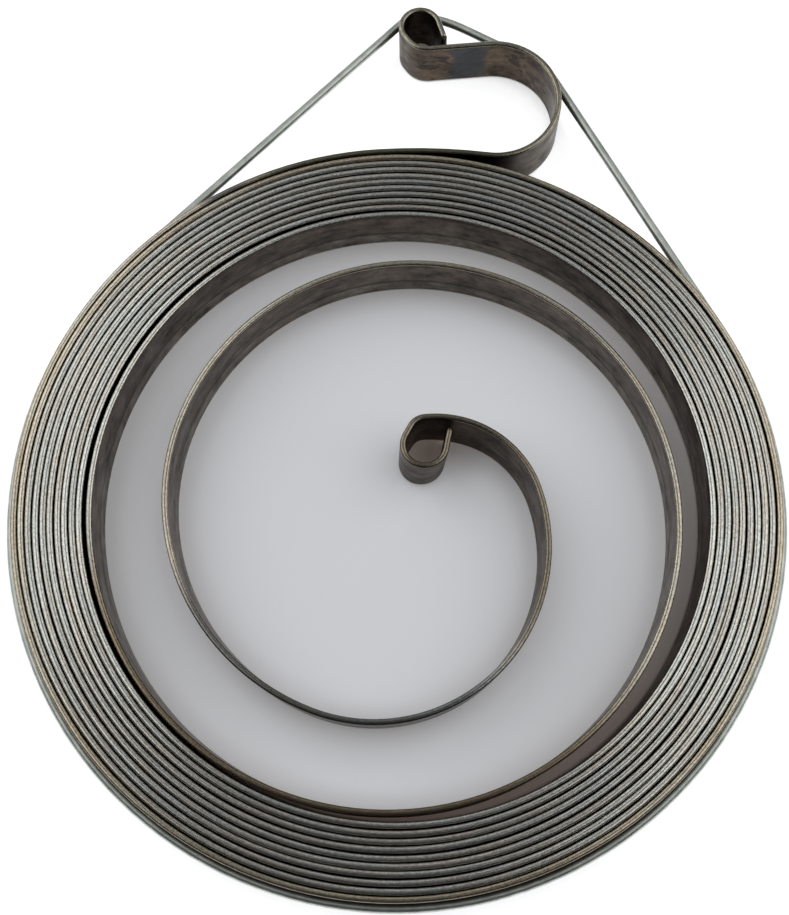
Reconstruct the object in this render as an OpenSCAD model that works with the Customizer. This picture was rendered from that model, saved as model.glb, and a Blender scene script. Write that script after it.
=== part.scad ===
// Recoil starter spring: one flat steel strip, wound on edge into a close pack with a
// free inner loop, a hook at each end, and a wire ring that keeps the pack wound.
// The spring lies flat. The origin is on the coil axis, at the plane that it lies on.
// The strip is laid out as on a bending bench: a list of straights and bends, walked in turn.

/* [Strip] */
// Thickness of the steel strip
strip_t = 0.62; // [0.4:0.01:0.8]
// Width of the steel strip, which is the height of the coil
strip_w = 6.4; // [4:0.1:12]

/* [Pack] */
// Radius of the strip's middle line where the pack begins, on the left, if it lay close there
pack_r = 31; // [27:0.5:36]
// Whole turns in the pack
pack_turns = 10; // [4:1:12]
// Air between neighbouring turns
turn_gap = 0.11; // [0.06:0.01:0.2]
// Extra air behind the pack's first half turn, on the left, where the strip comes loose
loose_start = 0.3; // [0.1:0.05:0.4]
// Angle that the last turn goes on past the whole turns, up to the top
leave_angle = 90; // [75:1:100]

/* [Inner loop] */
// How much flatter than the pack the strip is bent where it leaves it inwards
loop_ease = 0.2; // [0:0.1:0.5]
// Angle of this first bend
loop_a1 = 31.5; // [28:0.5:36]
// How much the bend radius falls from the first bend to the second
loop_step2 = 1.75; // [1.4:0.05:2]
// Angle of the second bend
loop_a2 = 59.5; // [55:0.5:64]
// How much it falls to the third bend
loop_step3 = 0.6; // [0.3:0.05:1]
// Angle of the third bend
loop_a3 = 94.5; // [90:0.5:98]
// How much it falls to the fourth bend
loop_step4 = 2.2; // [1.8:0.05:2.6]
// Angle of the fourth bend
loop_a4 = 74; // [70:0.5:78]
// How much it falls to the fifth bend
loop_step5 = 1.85; // [1.5:0.05:2.2]
// Angle of the fifth bend
loop_a5 = 79.5; // [76:0.5:84]
// How much it falls to the sixth bend
loop_step6 = 1.3; // [1:0.05:1.8]
// Angle of the sixth bend
loop_a6 = 86.5; // [82:0.5:90]
// Bend radius of the tighter bend below the middle
loop_r7 = 17; // [16:0.1:18]
// Angle of the tighter bend
loop_a7 = 88; // [84:0.5:92]
// Bend radius of the flatter stretch that follows
loop_r8 = 18.3; // [17:0.1:20]
// Angle of the flatter stretch
loop_a8 = 41; // [36:0.5:46]
// Bend radius of the last bend before the inner hook
loop_r9 = 10.75; // [10:0.05:12]
// Angle of the last bend before the inner hook
loop_a9 = 77; // [72:0.5:82]

/* [Inner hook] */
// Straight between the loop and the hook
inner_lead = 0.2; // [0.1:0.1:2]
// Middle-line radius of the hook's first bend
inner_r1 = 1.85; // [1.6:0.05:2.6]
// Angle of the hook's first bend
inner_a1 = 57; // [50:1:66]
// Straight between the hook's two bends
inner_side = 1.05; // [0.3:0.05:2]
// Middle-line radius of the hook's second bend, which goes round the reel's peg
inner_r2 = 2.2; // [1.6:0.05:2.6]
// Angle of the hook's second bend
inner_a2 = 197; // [180:1:202]
// Straight tail at the inner end of the strip
inner_tail = 2.2; // [1:0.05:2.5]

/* [Outer hook] */
// Bend radius where the strip leaves the pack
leave_r = 62; // [50:1:80]
// Angle of the bend where the strip leaves the pack
leave_bend = 10.8; // [9:0.1:14]
// Middle-line radius of the large bend, which turns the other way
outer_r1 = 6.87; // [6:0.01:8]
// Angle of the large bend
outer_a1 = 192.5; // [188:0.5:198]
// Straight between the large bend and the curl
outer_arm = 6.65; // [5:0.05:9]
// Middle-line radius of the curl's first bend
outer_r2 = 2.55; // [2:0.05:3]
// Angle of the curl's first bend
outer_a2 = 59; // [52:1:66]
// Straight between the curl's two bends
outer_side = 0.7; // [0.4:0.1:2]
// Middle-line radius of the curl's second bend
outer_r3 = 2.1; // [1.7:0.05:2.5]
// Angle of the curl's second bend
outer_a3 = 198; // [186:1:206]
// Straight tail at the outer end of the strip
outer_tail = 2.2; // [1:0.1:2.5]

/* [Retaining wire] */
// Diameter of the wire
wire_d = 0.95; // [0.6:0.05:1.4]
// Height of the wire's middle above the plane that the spring lies on
wire_z = 3.8; // [2:0.1:4.4]
// Air between the wire and the strip that it goes round
wire_clearance = 0.05; // [0.03:0.01:0.15]

/* [Hidden] */
// Largest turn between neighbouring points on a bend
facet_angle = 5;
// Flats round the wire
wire_sides = 8;

// A segment is [length, 0] for a straight, or [bend radius, turn] with turns to the right positive.
// A pose is [x, y, heading].
pitch = strip_t + turn_gap;
half_turns = 2 * pack_turns;
quarter = 90;

// Each half turn of the pack is an arc, half a pitch larger in radius than the one before. The first
// starts loose, so it is a little smaller.
function pack_arc_r(i) = pack_r + pitch * (2 * i + 1) / 4 - (i == 0 ? loose_start / 2 : 0);

// Going inwards from the pack, each bend of the free loop is a little tighter.
loop_r1 = pack_r + loop_ease;
loop_r2 = loop_r1 - loop_step2;
loop_r3 = loop_r2 - loop_step3;
loop_r4 = loop_r3 - loop_step4;
loop_r5 = loop_r4 - loop_step5;
loop_r6 = loop_r5 - loop_step6;

pack_run = [for (i = [0 : half_turns - 1]) [pack_arc_r(i), 2 * quarter]];
outer_run = [
    [pack_arc_r(half_turns), leave_angle],
    [leave_r, leave_bend],
    [outer_r1, -outer_a1],
    [outer_arm, 0],
    [outer_r2, outer_a2],
    [outer_side, 0],
    [outer_r3, outer_a3],
    [outer_tail, 0]
];
inner_run = [
    [loop_r1, -loop_a1],
    [loop_r2, -loop_a2],
    [loop_r3, -loop_a3],
    [loop_r4, -loop_a4],
    [loop_r5, -loop_a5],
    [loop_r6, -loop_a6],
    [loop_r7, -loop_a7],
    [loop_r8, -loop_a8],
    [loop_r9, -loop_a9],
    [inner_lead, 0],
    [inner_r1, -inner_a1],
    [inner_side, 0],
    [inner_r2, -inner_a2],
    [inner_tail, 0]
];

// The pack begins on the left: outwards the strip runs up the page, inwards it runs down.
pack_left = loose_start - pack_r;
pack_pose = [pack_left, 0, quarter];
inner_pose = [pack_left, 0, -quarter];

function left_of(heading) = [-sin(heading), cos(heading)];
function bend_centre(pose, seg) =
    [pose[0], pose[1]] - sign(seg[1]) * seg[0] * left_of(pose[2]);
function next_pose(pose, seg) =
    seg[1] == 0
        ? [pose[0] + seg[0] * cos(pose[2]), pose[1] + seg[0] * sin(pose[2]), pose[2]]
        : let (
            c = bend_centre(pose, seg),
            heading = pose[2] - seg[1],
            p = c + sign(seg[1]) * seg[0] * left_of(heading)
        ) [p[0], p[1], heading];
function poses(run, pose, i = 0) =
    i == len(run) ? [pose] : concat([pose], poses(run, next_pose(pose, run[i]), i + 1));
function bend_steps(turn) = max(2, ceil(abs(turn) / facet_angle));

// Points along a run, moved to the left of its middle line by an offset
function segment_points(pose, seg, offset) =
    seg[1] == 0
        ? [[pose[0], pose[1]] + offset * left_of(pose[2])]
        : let (c = bend_centre(pose, seg), n = bend_steps(seg[1]))
          [for (k = [0 : n - 1])
              c + (sign(seg[1]) * seg[0] + offset) * left_of(pose[2] - seg[1] * k / n)];
function run_points(run, start, offset) =
    let (at = poses(run, start), last = at[len(run)])
    concat(
        [for (i = [0 : len(run) - 1]) each segment_points(at[i], run[i], offset)],
        [[last[0], last[1]] + offset * left_of(last[2])]
    );
function backwards(list) = [for (i = [len(list) - 1 : -1 : 0]) list[i]];

// One side of the whole strip, from the inner tail to the outer tail. The inner run is walked
// the other way, so its left is the strip's right. The pose where the two runs meet counts once.
function strip_side(offset) =
    let (inner = backwards(run_points(inner_run, inner_pose, -offset)))
    concat(
        [for (i = [0 : len(inner) - 2]) inner[i]],
        run_points(coil_run, pack_pose, offset)
    );

coil_run = concat(pack_run, outer_run);
coil_poses = poses(coil_run, pack_pose);

// The wire goes clockwise round these circles: the last two half turns of the pack, the last
// part turn, the curl of the outer hook and its large bend.
wire_gap = strip_t / 2 + wire_clearance + wire_d / 2;
function wire_circle(i) =
    [bend_centre(coil_poses[i], coil_run[i]), coil_run[i][0] + wire_gap];
curl_index = len(coil_run) - 2;
bend_index = half_turns + 2;
belt = [
    wire_circle(half_turns - 2),
    wire_circle(half_turns - 1),
    wire_circle(half_turns),
    wire_circle(curl_index),
    wire_circle(bend_index)
];

// Heading of the straight that leaves circle a and meets circle b, both on its right.
function belt_heading(a, b) =
    let (d = b[0] - a[0])
    atan2(d[1], d[0]) + asin((b[1] - a[1]) / norm(d));
to_curl = belt_heading(belt[2], belt[3]);
to_bend = belt_heading(belt[3], belt[4]);
to_pack = belt_heading(belt[4], belt[0]);

// Stations [x, y, heading] on the way round a circle; the last one is left out where the next
// circle begins at the same place.
function belt_stations(circle, from, to, last = 0) =
    let (n = bend_steps(from - to))
    [for (k = [0 : n - 1 + last])
        let (heading = from + (to - from) * k / n, p = circle[0] + circle[1] * left_of(heading))
        [p[0], p[1], heading]];
wire_stations = concat(
    belt_stations(belt[0], to_pack, -quarter),
    belt_stations(belt[1], -quarter, -3 * quarter),
    belt_stations(belt[2], quarter, to_curl, last = 1),
    belt_stations(belt[3], to_curl, to_bend, last = 1),
    belt_stations(belt[4], to_bend, to_pack, last = 1)
);

module spring_strip() {
    color([0.45, 0.43, 0.4])
        linear_extrude(strip_w)
            polygon(concat(strip_side(strip_t / 2), backwards(strip_side(-strip_t / 2))));
}

module retaining_wire() {
    stations = len(wire_stations);
    points = [
        for (s = wire_stations, k = [0 : wire_sides - 1])
            let (a = 360 * k / wire_sides, side = wire_d / 2 * cos(a) * left_of(s[2]))
            [s[0] + side[0], s[1] + side[1], wire_z + wire_d / 2 * sin(a)]
    ];
    function corner(i, k) = (i % stations) * wire_sides + k % wire_sides;
    color([0.78, 0.8, 0.78])
        polyhedron(points, [
            for (i = [0 : stations - 1], k = [0 : wire_sides - 1])
                [corner(i, k), corner(i, k + 1), corner(i + 1, k + 1), corner(i + 1, k)]
        ]);
}

spring_strip();
retaining_wire();
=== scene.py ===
"""Looks of a recoil starter spring: a steel strip wound on edge, and the zinc-coated wire round it.

The strip and the wire are sections carried along paths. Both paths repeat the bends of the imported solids,
so each piece lies where its solid lies. Lengths are millimetres until a mesh is made.
"""
import math

import bpy
import numpy as np
from mathutils import Matrix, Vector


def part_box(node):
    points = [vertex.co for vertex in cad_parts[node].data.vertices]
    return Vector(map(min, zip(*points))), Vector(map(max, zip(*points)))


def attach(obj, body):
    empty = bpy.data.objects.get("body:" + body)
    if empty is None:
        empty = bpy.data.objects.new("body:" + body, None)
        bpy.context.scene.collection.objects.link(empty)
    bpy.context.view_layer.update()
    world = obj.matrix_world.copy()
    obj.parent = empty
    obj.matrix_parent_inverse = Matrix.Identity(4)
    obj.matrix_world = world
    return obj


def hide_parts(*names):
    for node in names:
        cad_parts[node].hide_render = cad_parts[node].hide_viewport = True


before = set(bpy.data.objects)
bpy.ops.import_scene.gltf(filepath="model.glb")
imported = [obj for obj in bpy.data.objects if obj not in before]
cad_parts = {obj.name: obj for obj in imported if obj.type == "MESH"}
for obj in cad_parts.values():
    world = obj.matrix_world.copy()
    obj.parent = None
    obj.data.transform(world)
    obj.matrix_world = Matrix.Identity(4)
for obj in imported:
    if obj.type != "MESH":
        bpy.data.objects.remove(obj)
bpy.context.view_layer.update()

MM = 0.001

# Strip: its thickness, its width and the air between neighbouring turns
STRIP_T = 0.62
STRIP_W = (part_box("spring_strip")[1][2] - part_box("spring_strip")[0][2]) / MM
TURN_GAP = 0.11
PITCH = STRIP_T + TURN_GAP

# Pack: its first radius, the extra air where it begins on the left, and its half turns
PACK_R = 31.0
LOOSE_START = 0.3
PACK_LEFT = (LOOSE_START - PACK_R, 0)
HALF_TURNS = 20

# Edges of the strip: the crown's height, how square it is, the flat rim of each face beside it, the points
# over one crown, and the share of the thickness that takes the edge's colour
CROWN_H = 0.24
CROWN_POWER = 2.4
FACE_RIM = 0.15
CROWN_POINTS = 13
CROWN_SHARE = 0.98

# How unevenly the turns lie: wavelengths and size of the sway aside and of the lift, and the mean lift
SWAY_WAVES = (61, 97, 173)
SWAY = 0.05
LIFT_WAVES = (140, 233, 410)
LIFT = 0.1
MEAN_LIFT = 0.06
# Radians between the starts of one wave and the next
WAVE_STAGGER = 2.4

# How far the free inner end leans inwards at its foot: (millimetres along the strip, millimetres of lean)
LEAN = ((6, 0), (16, 0.45), (40, 0.32), (120, 0))

# How far the inner hook's foot leans to the left, and where along the strip this begins to fade and ends
HOOK_LEAN = 0.4
HOOK_FADE = (7, 15)

# Wire: its thickness, the height of its middle, its air to the strip, its sides and how far it bows out
WIRE_D = 0.95
WIRE_Z = 3.8
WIRE_CLEARANCE = 0.05
WIRE_SIDES = 16
WIRE_BOW = 0.35
BOW_STEPS = 14
# The largest value of t (1 - t)^3, which is at a quarter of the way
BOW_PEAK = 0.25 * 0.75 ** 3

# Largest steps along bends and straights
BEND_STEP = math.radians(2.5)
STRAIGHT_STEP = 0.4

# Places along the strip, in millimetres from the inner tail
COIL_WALLS = (30, 2486)          # faces of the loop and the pack
INNER_STAINED = (-20, 46)        # stained inner end
BLUED_INNER = (48, 85)           # heat-blued edge beside the inner end
LOOP = (60, 262)                 # browned free loop
# Painted shade on the loop's lower side, which the light reaches less
LOOP_SHADED_SIDE = (196, 262)          # lower side of the loop
TAN_TURNS = (2200, 2486)         # tan outer turns
DARK_PATCH = (2483.5, 2488)      # dark patch on the last turn
# Painted shade: the stretch that leaves the pack is darkened where shade falls on it
LEAVING_SHADE = (2488, 2519)           # dark stretch that leaves the pack
OUTER_STAINED = (2492, 2600)     # stained outer end
BLUE_ARM = (2538.4, 2542.2)      # blue patch on the outer arm
BLUE_RAGGED = 2.4                # how far the blue patch's ends wander

# Grain of the steel's patterns in millimetres: along the strip, up it and through it. The scratches and
# the drawn lines are coarser than real ones, so that they show.
BLOTCHES = (2.4, 1.5, 0.2)
BROAD_BLOTCHES = (14, 9, 0.2)
SCRATCHES = (9, 0.11, 0.2)
FLECKS = (0.8, 0.2, 0.2)
STAINS = (1.3, 1.0, 0.2)
RAGGED_ENDS = (1.5, 1.5, 0.2)
DRAWN_LINES = (8, 0.1, 0.1)
WARM_PATCHES = (7, 0.6, 0.6)
EDGE_SPECKS = (0.35, 0.2, 0.2)
TURN_TONES = (70, 9, 9)

# How strongly the blue patch and the dark places cover the steel, and how rough the rubbed edges are
BLUE_STRENGTH = 0.85
DARK_STRENGTH = 0.7
EDGE_ROUGHNESS = 0.27

# Tints of the edges, one over the other: the stretch, how softly it ends in millimetres, and the tint
EDGE_TINTS = (
    (LOOP, 12, "#f0e8dc"),
    # Painted shade on the loop's lower side
    (LOOP_SHADED_SIDE, 8, "#bdb2a6"),
    (INNER_STAINED, 8, "#a79d90"),
    (OUTER_STAINED, 6, "#c8c4b8"),
    # Painted shade on the edges of the stretch that leaves the pack
    (LEAVING_SHADE, 4, "#b4b8b0"),
)

# Size of the mottle on the wire's zinc coat
ZINC_MOTTLE = 1.5

# Table: half its side in metres, and the white that the eye sees on it, inside the coil and outside. Each
# white has its strength and the radii, under the coil's turns, between which it ends or begins. The reach
# is how far round a spot the strip's faces shade it.
TABLE_HALF = 6
INSIDE_WHITE = 0.215
INSIDE_ENDS = (30.8, 31.2)
OUTSIDE_WHITE = 0.8
OUTSIDE_BEGINS = (38.2, 39.2)
SHADE_REACH = 5

# Softboxes: direction from the spring, side in metres and radiance
SOFTBOXES = {
    "left_softbox": ((-0.62, 0.3, 0.77), 0.6, 1.2),
    "right_softbox": ((0.62, 0.1, 0.78), 0.6, 1.15),
    "back_softbox": ((0.0, 0.9, 0.6), 0.5, 0.3),
}
SOFTBOX_DISTANCE = 0.6
ROOM_COLOUR = (0.036, 0.036, 0.038, 1)

# Camera, fitted to the photograph: the picture's height and the focal length in pixels, the tilt from
# straight down, the roll about the line of sight and the place, then the sensor's width and how near it sees
IMAGE_H = 915
FOCAL_PX = 1341
TILT = math.radians(16.28)
ROLL = math.radians(-3.07)
CAMERA_AT = (-0.02, -33.62, STRIP_W + 129.22)
SENSOR_W = 36
CLIP_START = 10


def pack_radius(i):
    """Radius of the pack's half turn i: half a pitch more for each, and less at the loose start."""
    return PACK_R + PITCH * (2 * i + 1) / 4 - (LOOSE_START / 2 if i == 0 else 0)


# A bend is (radius, degrees to the right), a straight is (length, 0).
PACK = [(pack_radius(i), 180) for i in range(HALF_TURNS)]

# Outwards from the pack: the last part turn, the bend that leaves it, the large bend, the arm and the curl
OUTER_END = [
    (pack_radius(HALF_TURNS), 90),
    (62, 10.8),
    (6.87, -192.5),
    (6.65, 0),
    (2.55, 59),
    (0.7, 0),
    (2.1, 198),
    (2.2, 0),
]

# Inwards from the pack: nine bends of the free loop, a short lead and the hook with its tail
INNER_END = [
    (31.2, -31.5),
    (29.45, -59.5),
    (28.85, -94.5),
    (26.65, -74),
    (24.8, -79.5),
    (23.5, -86.5),
    (17, -88),
    (18.3, -41),
    (10.75, -77),
    (0.2, 0),
    (1.85, -57),
    (1.05, 0),
    (2.2, -197),
    (2.2, 0),
]


def left_of(heading):
    """Unit vectors to the left of the headings."""
    return np.stack([-np.sin(heading), np.cos(heading)], axis=-1)


def walk(run, start, heading):
    """Middle line of a bent strip: its points, headings and the length walked at each.

    Each bend or straight is cut into equal steps. A step's chord, 2 r sin(turn / 2) on a bend, points along
    its mean heading, and the running sums of turns and chords give headings and points.
    """
    size, turn = np.array(run, float).T
    turn = -np.radians(turn)
    straight = turn == 0
    steps = np.where(straight, size / STRAIGHT_STEP, np.abs(turn) / BEND_STEP)
    steps = np.maximum(np.ceil(steps), 2).astype(int)
    chord = np.where(straight, size / steps, 2 * size * np.sin(np.abs(turn) / steps / 2))
    length = np.where(straight, size, size * np.abs(turn))
    bend = np.repeat(turn / steps, steps)
    headings = heading + np.concatenate([[0], np.cumsum(bend)])
    mean = headings[:-1] + bend / 2
    moves = np.repeat(chord, steps)[:, None] * np.stack([np.cos(mean), np.sin(mean)], axis=-1)
    points = np.array(start) + np.concatenate([[[0, 0]], np.cumsum(moves, axis=0)])
    walked = np.concatenate([[0], np.cumsum(np.repeat(length / steps, steps))])
    return points, headings, walked


def strip_line():
    """The strip's middle line from the inner tail to the outer tail: points, headings and lengths."""
    out_points, out_headings, out_walked = walk(PACK + OUTER_END, PACK_LEFT, math.pi / 2)
    in_points, in_headings, in_walked = walk(INNER_END, PACK_LEFT, -math.pi / 2)
    points = np.concatenate([in_points[:0:-1], out_points])
    headings = np.concatenate([in_headings[:0:-1] + math.pi, out_headings])
    along = np.concatenate([in_walked[-1] - in_walked[:0:-1], in_walked[-1] + out_walked])
    return points, headings, along


def grid_mesh(name, points, closed_run):
    """Mesh of a section carried along a path: points is an array of rings, each ring a closed section.

    Neighbouring rings are joined by quads, corner k to corner k + 1. An open run has flat capped ends.
    """
    rings, corners = points.shape[:2]
    last = rings if closed_run else rings - 1
    i, k = np.meshgrid(np.arange(last), np.arange(corners), indexing="ij")
    j, m = (i + 1) % rings, (k + 1) % corners
    quads = np.stack([i * corners + k, j * corners + k, j * corners + m, i * corners + m], axis=-1)
    faces = quads.reshape(-1, 4).tolist()
    if not closed_run:
        faces.append(list(range(corners)))
        faces.append([(rings - 1) * corners + k for k in reversed(range(corners))])
    mesh = bpy.data.meshes.new(name)
    mesh.from_pydata((points.reshape(-1, 3) * MM).tolist(), [], faces)
    mesh.polygons.foreach_set("use_smooth", np.ones(len(faces), bool))
    mesh.update()
    piece = bpy.data.objects.new(name, mesh)
    bpy.context.collection.objects.link(piece)
    return piece


def point_values(piece, name, values):
    """Keeps a number, or a vector, for each vertex, for the material to read."""
    kind = "FLOAT" if values.ndim == 1 else "FLOAT_VECTOR"
    layer = piece.data.attributes.new(name, kind, "POINT")
    field = "value" if values.ndim == 1 else "vector"
    layer.data.foreach_set(field, values.astype(np.float32).ravel())


def strip_section():
    """Closed section of the strip as (side, height) pairs: two flat faces and two crowned edges.

    Each edge is half a superellipse: the cosine gives the side and the sine the height, each raised to the
    power 2 / CROWN_POWER, so the middle is nearly flat and the corners are round.
    """
    around = np.linspace(0, math.pi, CROWN_POINTS)
    cosine = np.cos(around)
    half = STRIP_T / 2
    across = half * np.sign(cosine) * np.abs(cosine) ** (2 / CROWN_POWER)
    rise = CROWN_H * np.abs(np.sin(around)) ** (2 / CROWN_POWER)
    low = CROWN_H + FACE_RIM
    high = STRIP_W - low
    upper = np.stack([across, STRIP_W - CROWN_H + rise], axis=-1)
    lower = np.stack([-across, CROWN_H - rise], axis=-1)
    return np.concatenate([upper, [(-half, high), (-half, low)], lower, [(half, low), (half, high)]])


def waves(along, lengths, height):
    """A smooth uneven line: height times the mean of sines of these wavelengths, with staggered starts."""
    starts = np.arange(len(lengths)) * WAVE_STAGGER
    sines = np.sin(2 * math.pi * along[:, None] / np.array(lengths) + starts)
    return height * sines.mean(axis=1)


def build_strip():
    """The strip: its section carried along the middle line, with turns that lie a little unevenly.

    The free inner end leans: each point moves inwards by the lean times its depth below the upper edge. The
    hook's own points move to the left in the same way. Each vertex keeps its place in the strip, as
    millimetres along it, up it and through it, and whether it is on a crowned edge.
    """
    points, headings, along = strip_line()
    section = strip_section()
    aside = waves(along, SWAY_WAVES, SWAY)
    lift = MEAN_LIFT + waves(along, LIFT_WAVES, LIFT)
    lean = np.interp(along, *np.array(LEAN).T)
    hook = HOOK_LEAN * np.interp(along, HOOK_FADE, (1, 0))
    depth = section[:, 1] / STRIP_W - 1
    side = section[None, :, 0] + aside[:, None] + lean[:, None] * depth
    plan = points[:, None, :] + side[..., None] * left_of(headings)[:, None, :]
    plan[..., 0] += hook[:, None] * depth
    height = np.maximum(section[None, :, 1] + lift[:, None], 0)
    rings = np.concatenate([plan, height[..., None]], axis=-1)
    piece = grid_mesh("wound_strip", rings, closed_run=False)
    shape = rings.shape[:2]
    strip_mm = np.stack([
        np.broadcast_to(along[:, None], shape),
        np.broadcast_to(section[:, 1], shape),
        np.broadcast_to(section[:, 0], shape),
    ], axis=-1)
    point_values(piece, "strip_mm", strip_mm.reshape(-1, 3))
    crown = np.abs(section[:, 0]) < CROWN_SHARE * STRIP_T / 2
    point_values(piece, "crown", np.broadcast_to(crown, shape).astype(float).ravel())
    return piece


def wire_line():
    """The wire's line, tight round the pack, the curl and the large bend, as points and headings.

    A straight that touches circles a and b on its right has the heading of the line of centres plus
    asin((rb - ra) / distance). On each circle the heading falls evenly from one straight to the next.
    Between the curl and the large bend the stiff wire stands off by the bow times t (1 - t)^3 over its
    largest value, so it is highest at a quarter of the way.
    """
    run = PACK + OUTER_END
    quarter = math.pi / 2
    size, turn = np.array(run, float).T
    heading = quarter - np.radians(np.concatenate([[0], np.cumsum(turn)]))[:-1]
    ends = [walk(run[:i], PACK_LEFT, quarter)[0][-1] for i in range(1, len(run))]
    start = np.array([PACK_LEFT, *ends])
    centre = start - (np.sign(turn) * size)[:, None] * left_of(heading)
    gap = STRIP_T / 2 + WIRE_CLEARANCE + WIRE_D / 2

    def tangent(a, b):
        """Heading of the straight from circle a to circle b."""
        across = centre[b] - centre[a]
        return math.atan2(across[1], across[0]) + math.asin((size[b] - size[a]) / math.hypot(*across))

    def arc(index, first, final):
        """Points and headings on the way round a circle, from one heading to another."""
        steps = max(3, math.ceil(abs(first - final) / BEND_STEP))
        turning = np.linspace(first, final, steps + 1)
        return centre[index] + (size[index] + gap) * left_of(turning), turning

    # The circles' places in the run
    upper_half = HALF_TURNS - 2
    lower_half = HALF_TURNS - 1
    part_turn = HALF_TURNS
    large_bend = HALF_TURNS + 2
    curl = len(run) - 2
    to_curl = tangent(part_turn, curl)
    to_bend = tangent(curl, large_bend)
    to_pack = tangent(large_bend, upper_half)

    # The two half turns leave out their last point, where the next circle begins
    halves = [arc(upper_half, to_pack, -quarter), arc(lower_half, -quarter, -3 * quarter)]
    halves = [(points[:-1], turning[:-1]) for points, turning in halves]
    over_curl = arc(curl, to_curl, to_bend)
    over_bend = arc(large_bend, to_bend, to_pack)

    first = over_curl[0][-1]
    straight = over_bend[0][0] - first
    way = np.linspace(0, 1, BOW_STEPS + 1)[1:-1]
    bow = WIRE_BOW / BOW_PEAK
    rise = bow * way * (1 - way) ** 3
    slope = bow * (1 - way) ** 2 * (1 - 4 * way) / np.linalg.norm(straight)
    bowed = first + way[:, None] * straight + rise[:, None] * left_of(np.array([to_bend]))
    between = (bowed, to_bend + np.arctan(slope))

    stations = [*halves, arc(part_turn, quarter, to_curl), over_curl, between, over_bend]
    points, headings = zip(*stations)
    return np.concatenate(points), np.concatenate(headings)


def build_wire():
    """The wire: a circle carried round its line, closed on itself."""
    points, headings = wire_line()
    around = np.linspace(0, 2 * math.pi, WIRE_SIDES, endpoint=False)
    side = WIRE_D / 2 * np.cos(around)
    plan = points[:, None, :] + side[None, :, None] * left_of(headings)[:, None, :]
    height = np.broadcast_to(WIRE_Z + WIRE_D / 2 * np.sin(around), plan.shape[:2])
    rings = np.concatenate([plan, height[..., None]], axis=-1)
    return grid_mesh("retaining_ring_wire", rings, closed_run=True)


def linear(hex_colour):
    """Linear RGBA of an sRGB hex colour."""
    srgb = np.array([int(hex_colour[i:i + 2], 16) for i in (1, 3, 5)]) / 255
    rgb = np.where(srgb <= 0.04045, srgb / 12.92, ((srgb + 0.055) / 1.055) ** 2.4)
    return (*rgb.tolist(), 1.0)


def add(tree, kind, inputs=None, stops=(), **settings):
    """Adds a node, sets its properties, sets or links its inputs, and gives a ramp its colour stops."""
    node = tree.nodes.new(kind)
    for name, value in settings.items():
        setattr(node, name, value)
    for key, value in (inputs or {}).items():
        if isinstance(value, bpy.types.NodeSocket):
            tree.links.new(value, node.inputs[key])
        else:
            node.inputs[key].default_value = value
    for position, _ in stops[2:]:
        node.color_ramp.elements.new(position)
    for i, (position, colour) in enumerate(stops):
        node.color_ramp.elements[i].position = position
        node.color_ramp.elements[i].color = linear(colour)
    return node


def new_material(name):
    """An empty node material with its output."""
    material = bpy.data.materials.new(name)
    material.use_nodes = True
    tree = material.node_tree
    tree.nodes.clear()
    return material, tree, tree.nodes.new("ShaderNodeOutputMaterial")


def stretch(tree, along, span, soft):
    """1 on a span of the strip and 0 elsewhere, fading over soft millimetres to each side of its ends."""
    first, last = span
    begin = add(tree, "ShaderNodeMapRange", {
        "Value": along, "From Min": first - soft, "From Max": first + soft,
    }, interpolation_type="SMOOTHSTEP")
    end = add(tree, "ShaderNodeMapRange", {
        "Value": along, "From Min": last + soft, "From Max": last - soft,
    }, interpolation_type="SMOOTHSTEP")
    both = add(tree, "ShaderNodeMath", {
        0: begin.outputs["Result"], 1: end.outputs["Result"],
    }, operation="MULTIPLY")
    return both.outputs[0]


def grain(tree, place, size, detail=4.0):
    """Noise in the strip's own millimetres: size gives its grain along the strip, up it and through it."""
    scaled = add(tree, "ShaderNodeVectorMath", {
        0: place, 1: tuple(1 / s for s in size),
    }, operation="MULTIPLY")
    noise = add(tree, "ShaderNodeTexNoise", {
        "Vector": scaled.outputs[0], "Scale": 1.0, "Detail": detail, "Roughness": 0.6,
    })
    return noise.outputs["Fac"]


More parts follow.
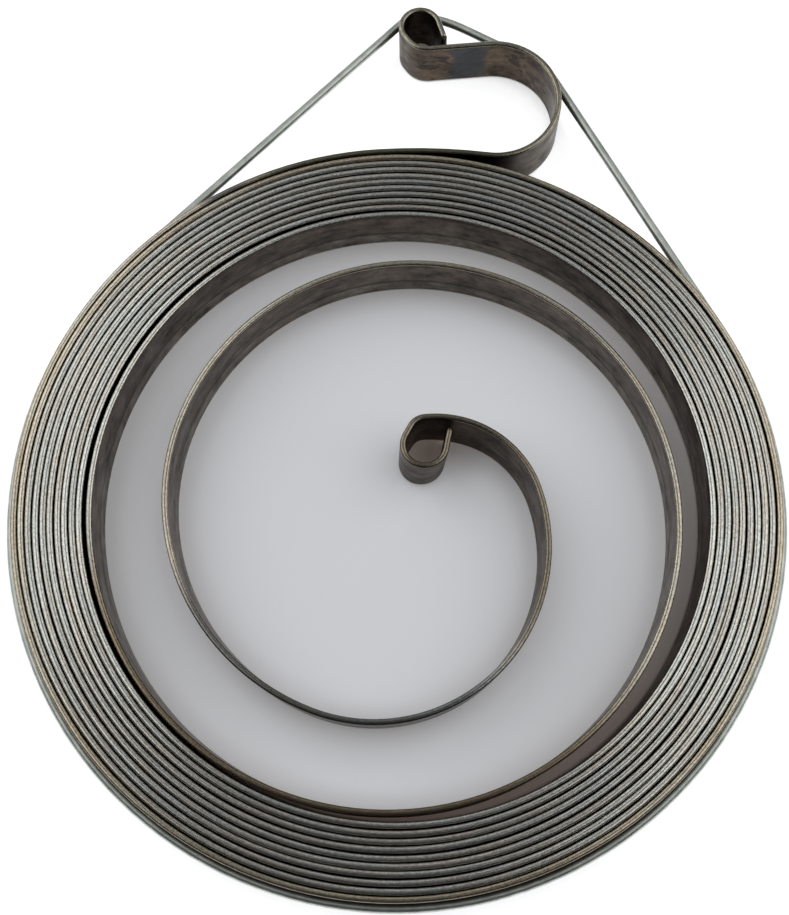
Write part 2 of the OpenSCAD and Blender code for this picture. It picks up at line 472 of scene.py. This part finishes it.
def face_colour(tree, place, along, height, blotch):
    """Colour of the flat faces: brown-grey oxide in blotches, with light scratches along it and flecks.

    On the coil's walls the lower third is greyer, below a dark line, and a rusty line runs under the upper
    edge. The two ends are browner, with dark stains. The stretch that leaves the pack is darker with painted
    shade, and the outer arm has a blue heat tint with ragged ends.
    """
    # Oxide in small and broad blotches
    oxide = add(tree, "ShaderNodeValToRGB", {"Fac": blotch}, stops=[
        (0.3, "#48413b"), (0.45, "#69625a"), (0.57, "#797067"), (0.72, "#8e847a"),
    ])
    broad = add(tree, "ShaderNodeMapRange", {
        "Value": grain(tree, place, BROAD_BLOTCHES, detail=2.0),
        "From Min": 0.35, "From Max": 0.65, "To Min": 0.85, "To Max": 1.15,
    })
    oxide = add(tree, "ShaderNodeVectorMath", {
        0: oxide.outputs["Color"], "Scale": broad.outputs["Result"],
    }, operation="SCALE")

    # Light scratches and flecks
    scratch = add(tree, "ShaderNodeMapRange", {
        "Value": grain(tree, place, SCRATCHES, detail=2.0),
        "From Min": 0.58, "From Max": 0.7, "To Min": 0.0, "To Max": 0.35,
    })
    fleck = add(tree, "ShaderNodeMapRange", {
        "Value": grain(tree, place, FLECKS, detail=3.0),
        "From Min": 0.62, "From Max": 0.7, "To Min": 0.0, "To Max": 0.6,
    })
    light = add(tree, "ShaderNodeMath", {
        0: scratch.outputs["Result"], 1: fleck.outputs["Result"],
    }, operation="MAXIMUM")
    scratched = add(tree, "ShaderNodeMix", {
        "Factor": light.outputs[0], "A": oxide.outputs[0], "B": linear("#b8b0a6"),
    }, data_type="RGBA")

    # Bands of the coil's walls, from the lower edge to the upper
    level = add(tree, "ShaderNodeMath", {0: height, 1: 1 / STRIP_W}, operation="MULTIPLY")
    wall = add(tree, "ShaderNodeValToRGB", {"Fac": level.outputs[0]}, stops=[
        (0.30, "#fafffc"), (0.36, "#857c75"), (0.43, "#d2cac3"),
        (0.9, "#d2cac3"), (0.94, "#b38b70"), (0.97, "#d2cac3"),
    ])
    walled = add(tree, "ShaderNodeMix", {
        "Factor": stretch(tree, along, COIL_WALLS, soft=8),
        "A": scratched.outputs["Result"], "B": wall.outputs["Color"],
    }, data_type="RGBA", blend_type="MULTIPLY")

    # Browner ends with dark stains, and fainter stains elsewhere
    inner = stretch(tree, along, INNER_STAINED, soft=4)
    outer = stretch(tree, along, OUTER_STAINED, soft=6)
    ends = add(tree, "ShaderNodeMix", {
        "Factor": inner, "A": walled.outputs["Result"], "B": linear("#ac9a86"),
    }, data_type="RGBA", blend_type="MULTIPLY")
    ends = add(tree, "ShaderNodeMix", {
        "Factor": outer, "A": ends.outputs["Result"], "B": linear("#a99b8a"),
    }, data_type="RGBA", blend_type="MULTIPLY")
    soiled = add(tree, "ShaderNodeMath", {0: inner, 1: outer}, operation="MAXIMUM")
    soiled = add(tree, "ShaderNodeMapRange", {
        "Value": soiled.outputs[0], "To Min": 0.25, "To Max": 0.85,
    })
    stain = add(tree, "ShaderNodeMapRange", {
        "Value": grain(tree, place, STAINS, detail=6.0),
        "From Min": 0.53, "From Max": 0.6, "To Max": soiled.outputs["Result"],
    })
    stained = add(tree, "ShaderNodeMix", {
        "Factor": stain.outputs["Result"], "A": ends.outputs["Result"], "B": linear("#241d18"),
    }, data_type="RGBA")

    # Painted shade on the stretch that leaves the pack, and the blue patch
    shaded_leaving = add(tree, "ShaderNodeMix", {
        "Factor": stretch(tree, along, LEAVING_SHADE, soft=5),
        "A": stained.outputs["Result"], "B": linear("#827b72"),
    }, data_type="RGBA", blend_type="MULTIPLY")
    ragged = add(tree, "ShaderNodeMath", {
        0: grain(tree, place, RAGGED_ENDS), 1: BLUE_RAGGED, 2: along,
    }, operation="MULTIPLY_ADD")
    blue_span = [end + BLUE_RAGGED / 2 for end in BLUE_ARM]
    patch = add(tree, "ShaderNodeMath", {
        0: stretch(tree, ragged.outputs[0], blue_span, soft=0.6), 1: BLUE_STRENGTH,
    }, operation="MULTIPLY")
    tinted = add(tree, "ShaderNodeMix", {
        "Factor": patch.outputs[0], "A": shaded_leaving.outputs["Result"], "B": linear("#262d32"),
    }, data_type="RGBA")
    return tinted.outputs["Result"]


def edge_colour(tree, place, along, across, lines):
    """Colour of the slit edges: grey steel with fine lines along it, specks and warm patches.

    The tone wanders slowly along the strip, so it changes from turn to turn. The last turns are tan, with
    painted shade on their outer side. The loop is a little brown and its lower side darker with painted
    shade, both ends are duller, and two places are dark from heat.
    """
    # Bright steel with lines, specks and a slow change of tone
    steel = add(tree, "ShaderNodeValToRGB", {"Fac": grain(tree, place, WARM_PATCHES, detail=3.0)}, stops=[
        (0.38, "#d3d6d1"), (0.54, "#d3d1c8"), (0.7, "#d2cabe"),
    ])
    drawn = add(tree, "ShaderNodeMapRange", {
        "Value": lines, "From Min": 0.35, "From Max": 0.65, "To Min": 0.86, "To Max": 1.08,
    })
    specks = add(tree, "ShaderNodeMapRange", {
        "Value": grain(tree, place, EDGE_SPECKS, detail=3.0),
        "From Min": 0.34, "From Max": 0.62, "To Min": 0.68, "To Max": 1.12,
    })
    tone = add(tree, "ShaderNodeMapRange", {
        "Value": grain(tree, place, TURN_TONES, detail=2.0),
        "From Min": 0.35, "From Max": 0.65, "To Min": 0.85, "To Max": 1.08,
    })
    shade = add(tree, "ShaderNodeMath", {
        0: drawn.outputs["Result"], 1: specks.outputs["Result"],
    }, operation="MULTIPLY")
    shade = add(tree, "ShaderNodeMath", {
        0: shade.outputs[0], 1: tone.outputs["Result"],
    }, operation="MULTIPLY")
    steel = add(tree, "ShaderNodeVectorMath", {
        0: steel.outputs["Color"], "Scale": shade.outputs[0],
    }, operation="SCALE")

    # The tan last turns, and painted shade on their outer side
    last = stretch(tree, along, TAN_TURNS, soft=60)
    tan = add(tree, "ShaderNodeMix", {
        "Factor": last, "A": steel.outputs[0], "B": linear("#f6ecdc"),
    }, data_type="RGBA", blend_type="MULTIPLY")
    outer_side_shade = add(tree, "ShaderNodeMapRange", {
        "Value": across, "From Min": 0.15, "From Max": 0.3, "To Max": last,
    })
    tinted = add(tree, "ShaderNodeMix", {
        "Factor": outer_side_shade.outputs["Result"], "A": tan.outputs["Result"], "B": linear("#a89f93"),
    }, data_type="RGBA", blend_type="MULTIPLY")

    for span, soft, tint in EDGE_TINTS:
        tinted = add(tree, "ShaderNodeMix", {
            "Factor": stretch(tree, along, span, soft),
            "A": tinted.outputs["Result"], "B": linear(tint),
        }, data_type="RGBA", blend_type="MULTIPLY")

    # Dark places
    dark = add(tree, "ShaderNodeMath", {
        0: stretch(tree, along, DARK_PATCH, soft=1.2), 1: stretch(tree, along, BLUED_INNER, soft=4),
    }, operation="MAXIMUM")
    dark = add(tree, "ShaderNodeMath", {0: dark.outputs[0], 1: DARK_STRENGTH}, operation="MULTIPLY")
    heated = add(tree, "ShaderNodeMix", {
        "Factor": dark.outputs[0], "A": tinted.outputs["Result"], "B": linear("#4a5057"),
    }, data_type="RGBA")
    return heated.outputs["Result"]


def tempered_spring_steel():
    """Tempered strip steel: faces dull brown with oxide, edges slit and rubbed to bright grey."""
    material, tree, output = new_material("tempered_spring_steel")
    place = add(tree, "ShaderNodeAttribute", attribute_name="strip_mm").outputs["Vector"]
    crown = add(tree, "ShaderNodeAttribute", attribute_name="crown").outputs["Fac"]
    axes = add(tree, "ShaderNodeSeparateXYZ", {"Vector": place})
    along = axes.outputs["X"]
    blotch = grain(tree, place, BLOTCHES, detail=5.0)
    lines = grain(tree, place, DRAWN_LINES, detail=2.0)
    face = face_colour(tree, place, along, axes.outputs["Y"], blotch)
    edge = edge_colour(tree, place, along, axes.outputs["Z"], lines)
    colour = add(tree, "ShaderNodeMix", {"Factor": crown, "A": face, "B": edge}, data_type="RGBA")
    dull = add(tree, "ShaderNodeMapRange", {
        "Value": blotch, "From Min": 0.3, "From Max": 0.7, "To Min": 0.5, "To Max": 0.32,
    })
    rough = add(tree, "ShaderNodeMix", {
        "Factor": crown, "A": dull.outputs["Result"], "B": EDGE_ROUGHNESS,
    }, data_type="FLOAT")
    bump = add(tree, "ShaderNodeBump", {"Height": lines, "Strength": 0.3, "Distance": 0.02 * MM})
    shader = add(tree, "ShaderNodeBsdfPrincipled", {
        "Base Color": colour.outputs["Result"],
        "Metallic": 1.0,
        "Roughness": rough.outputs["Result"],
        "Normal": bump.outputs["Normal"],
    })
    tree.links.new(shader.outputs["BSDF"], output.inputs["Surface"])
    return material


def zinc_coated_wire():
    """Drawn wire with a thin zinc coat: pale, smooth, faintly mottled."""
    material, tree, output = new_material("zinc_coated_wire")
    place = add(tree, "ShaderNodeTexCoord").outputs["Object"]
    mottle = add(tree, "ShaderNodeTexNoise", {
        "Vector": place, "Scale": 1 / (ZINC_MOTTLE * MM), "Detail": 4.0,
    })
    colour = add(tree, "ShaderNodeValToRGB", {"Fac": mottle.outputs["Fac"]}, stops=[
        (0.35, "#b9bfb7"), (0.65, "#d3d7d0"),
    ])
    shader = add(tree, "ShaderNodeBsdfPrincipled", {
        "Base Color": colour.outputs["Color"],
        "Metallic": 1.0,
        "Roughness": 0.42,
    })
    tree.links.new(shader.outputs["BSDF"], output.inputs["Surface"])
    return material


def pale_table():
    """Matt pale table: blue-grey inside the coil, and white to the eye and in reflections outside it.

    The white ends under the coil's turns. In narrow places, which get only the light from the strip's
    faces, that light and shade are painted: the white inside turns brown, the white outside fades away, and
    the matt colour is warmer.
    """
    material, tree, output = new_material("pale_table")
    place = add(tree, "ShaderNodeTexCoord").outputs["Object"]
    radius = add(tree, "ShaderNodeVectorMath", {0: place}, operation="LENGTH").outputs["Value"]
    inside = add(tree, "ShaderNodeMapRange", {
        "Value": radius, "From Min": INSIDE_ENDS[0] * MM, "From Max": INSIDE_ENDS[1] * MM,
        "To Min": INSIDE_WHITE, "To Max": 0.0,
    }, interpolation_type="SMOOTHSTEP")
    outside = add(tree, "ShaderNodeMapRange", {
        "Value": radius, "From Min": OUTSIDE_BEGINS[0] * MM, "From Max": OUTSIDE_BEGINS[1] * MM,
        "To Min": 0.0, "To Max": OUTSIDE_WHITE,
    }, interpolation_type="SMOOTHSTEP")

    # How open each spot is: 0 in the narrowest places, 1 in the open
    shading = add(tree, "ShaderNodeAmbientOcclusion", {"Distance": SHADE_REACH * MM}, samples=8)
    openness = shading.outputs["AO"]
    # Painted bounce light: in narrow places the white inside turns brown, as if lit by the strip's faces
    brown = add(tree, "ShaderNodeValToRGB", {"Fac": openness}, stops=[
        (0.0, "#7e675b"), (0.3, "#9c9188"), (0.75, "#ffffff"),
    ])
    # Painted shade: the white outside fades away in narrow places
    fading = add(tree, "ShaderNodeMapRange", {"Value": openness, "From Min": 0.2, "From Max": 0.5})
    inner = add(tree, "ShaderNodeVectorMath", {
        0: brown.outputs["Color"], "Scale": inside.outputs["Result"],
    }, operation="SCALE")
    outer = add(tree, "ShaderNodeMath", {
        0: fading.outputs["Result"], 1: outside.outputs["Result"],
    }, operation="MULTIPLY")
    white = add(tree, "ShaderNodeVectorMath", {0: inner.outputs[0], 1: outer.outputs[0]}, operation="ADD")

    # The white lights nothing: only rays from the eye, reflections and clear pieces see it
    rays = add(tree, "ShaderNodeLightPath")
    seen = add(tree, "ShaderNodeMath", {
        0: rays.outputs["Is Camera Ray"], 1: rays.outputs["Is Glossy Ray"],
    }, operation="MAXIMUM")
    seen = add(tree, "ShaderNodeMath", {
        0: seen.outputs[0], 1: rays.outputs["Is Transmission Ray"],
    }, operation="MAXIMUM")
    # Painted bounce light: the matt colour is warmer in narrow places
    bounce_warmed = add(tree, "ShaderNodeValToRGB", {"Fac": openness}, stops=[
        (0.0, "#b09a90"), (0.25, "#d9d3d2"), (0.45, "#e2e4ea"),
    ])
    matt = add(tree, "ShaderNodeBsdfDiffuse", {"Color": bounce_warmed.outputs["Color"]})
    light = add(tree, "ShaderNodeEmission", {"Color": white.outputs[0], "Strength": seen.outputs[0]})
    both = add(tree, "ShaderNodeAddShader", {0: matt.outputs[0], 1: light.outputs[0]})
    tree.links.new(both.outputs[0], output.inputs["Surface"])
    return material


def build_table():
    """A wide flat table under the spring: a square about the origin."""
    half = TABLE_HALF
    corners = [(-half, -half, 0), (half, -half, 0), (half, half, 0), (-half, half, 0)]
    mesh = bpy.data.meshes.new("table")
    mesh.from_pydata(corners, [], [(0, 1, 2, 3)])
    table = bpy.data.objects.new("table", mesh)
    bpy.context.collection.objects.link(table)
    table.data.materials.append(pale_table())


def softbox(name, direction, size, radiance):
    """A square lamp that faces the spring: its power is pi times its area times the radiance."""
    lamp = bpy.data.lights.new(name, "AREA")
    lamp.shape = "SQUARE"
    lamp.size = size
    lamp.energy = math.pi * size ** 2 * radiance
    box = bpy.data.objects.new(name, lamp)
    towards = np.array(direction) / np.linalg.norm(direction)
    box.location = towards * SOFTBOX_DISTANCE
    box.rotation_euler = (-1 * box.location).to_track_quat("-Z", "Y").to_euler()
    bpy.context.collection.objects.link(box)


def build_lights():
    """Large softboxes left and right, a weaker one behind, and a dim even room."""
    for name, (direction, size, radiance) in SOFTBOXES.items():
        softbox(name, direction, size, radiance)
    world = bpy.data.worlds.new("room")
    world.use_nodes = True
    world.node_tree.nodes["Background"].inputs["Color"].default_value = ROOM_COLOUR
    bpy.context.scene.world = world


def build_camera():
    """Camera at the photograph's place: tilted from straight down, rolled about its line of sight.

    The sensor's width spans the picture's longer side, which is its height.
    """
    lens = bpy.data.cameras.new("camera")
    lens.sensor_width = SENSOR_W
    lens.lens = SENSOR_W * FOCAL_PX / IMAGE_H
    lens.clip_start = CLIP_START * MM
    level = np.array([1.0, 0, 0])
    rise = np.array([0, math.cos(TILT), math.sin(TILT)])
    right = math.cos(ROLL) * level + math.sin(ROLL) * rise
    up = -math.sin(ROLL) * level + math.cos(ROLL) * rise
    turned = np.eye(4)
    turned[:3, 0] = right
    turned[:3, 1] = up
    turned[:3, 2] = np.cross(right, up)
    turned[:3, 3] = np.array(CAMERA_AT) * MM
    camera = bpy.data.objects.new("camera", lens)
    bpy.context.collection.objects.link(camera)
    camera.matrix_world = Matrix(turned.tolist())
    bpy.context.scene.camera = camera


strip = build_strip()
strip.data.materials.append(tempered_spring_steel())
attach(strip, "root")
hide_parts("spring_strip")

wire = build_wire()
wire.data.materials.append(zinc_coated_wire())
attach(wire, "root")
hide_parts("retaining_wire")

build_table()
build_lights()
build_camera()
bpy.context.scene.view_settings.view_transform = "Standard"
